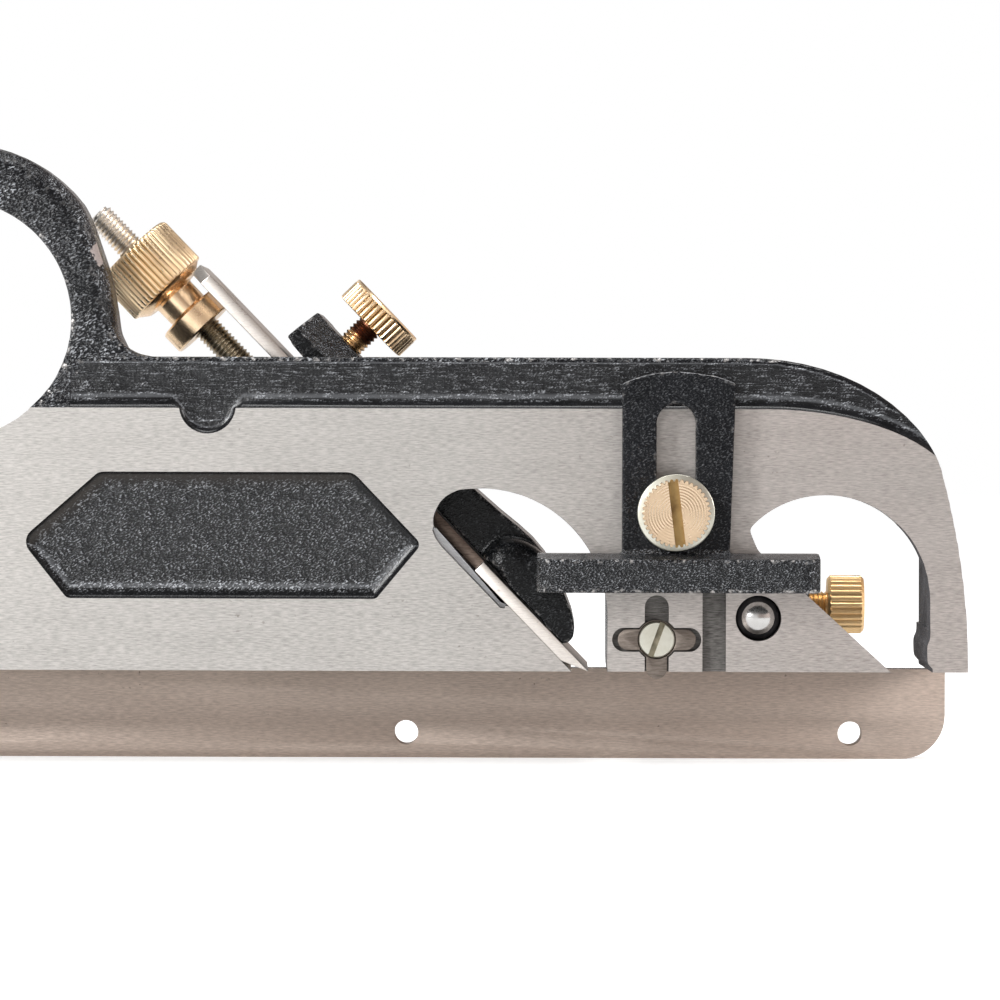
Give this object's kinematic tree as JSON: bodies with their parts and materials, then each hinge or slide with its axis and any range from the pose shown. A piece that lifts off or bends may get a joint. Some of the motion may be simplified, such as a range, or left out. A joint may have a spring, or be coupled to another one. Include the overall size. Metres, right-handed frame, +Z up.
{
  "type": "rebate plane",
  "caption": "Cast-iron duplex rebate plane with closed handle, full-width iron, lever cap, screw adjuster, depth stop, spur and a sliding side fence on rods.",
  "frame": {"origin": "on the sole plane, at mid length and mid width of the sole", "axes": "+X to the toe along the sole, +Z up from the sole, -Y out of the right-hand working side"},
  "size_m": [0.2301, 0.141, 0.1223],
  "materials": {
    "casting": "ground faces, black paint elsewhere",
    "tool_steel": "ground",
    "black_paint": "gloss black paint",
    "plated_steel": "zinc plated",
    "rod_steel": "polished",
    "brass": "knurled, turned"
  },
  "bodies": {
    "stock": {"body": "casting", "lever_cap": "black_paint", "lever_cap_screw": "plated_steel", "adjuster_stud": "plated_steel", "spur": "tool_steel", "spur_screw": "plated_steel", "front_fence_rod": "rod_steel", "rear_fence_rod": "rod_steel"},
    "cutter": {"iron": "tool_steel"},
    "nut": {"adjuster_nut": "brass"},
    "cap_thumbscrew": {"lever_cap_thumbscrew": "brass"},
    "stop": {"depth_stop": "black_paint"},
    "stop_screw": {"depth_stop_screw": "brass", "depth_stop_washer": "plated_steel"},
    "side_fence": {"fence": "casting"},
    "front_clamp": {"front_fence_thumbscrew": "brass"},
    "rear_clamp": {"rear_fence_thumbscrew": "brass"}
  },
  "joints": [
    {"name": "iron_feed", "type": "slide", "parent": "stock", "child": "cutter", "axis": [-0.6947, 0, 0.7193], "range_m": [-0.0012, 0.0008]},
    {"name": "adjuster_turn", "type": "hinge", "parent": "cutter", "child": "nut", "pos_m": [-0.03372, 0.00475, 0.06686], "axis": [-0.6947, 0, 0.7193], "range_deg": [-540, 360]},
    {"name": "cap_thumbscrew_turn", "type": "hinge", "parent": "stock", "child": "cap_thumbscrew", "pos_m": [-0.00832, 0.00475, 0.05107], "axis": [0.7193, 0, 0.6947], "range_deg": [0, 360]},
    {"name": "depth_stop_slide", "type": "slide", "parent": "stock", "child": "stop", "axis": [0, 0, 1], "range_m": [-0.0155, 0]},
    {"name": "depth_stop_screw_turn", "type": "hinge", "parent": "stock", "child": "stop_screw", "pos_m": [0.0561, -0.026, 0.0279], "axis": [0, -1, 0], "range_deg": [0, 360]},
    {"name": "fence_slide", "type": "slide", "parent": "stock", "child": "side_fence", "axis": [0, 1, 0], "range_m": [-0.03, 0.03]},
    {"name": "front_clamp_turn", "type": "hinge", "parent": "side_fence", "child": "front_clamp", "pos_m": [0.088, 0.06, 0.0094], "axis": [1, 0, 0], "range_deg": [0, 360]},
    {"name": "rear_clamp_turn", "type": "hinge", "parent": "side_fence", "child": "rear_clamp", "pos_m": [-0.062, 0.06, 0.0094], "axis": [1, 0, 0], "range_deg": [0, 360]}
  ],
  "couplings": [
    {"joint": "adjuster_turn", "follows": "iron_feed", "rad_per_m": 7853.9}
  ]
}
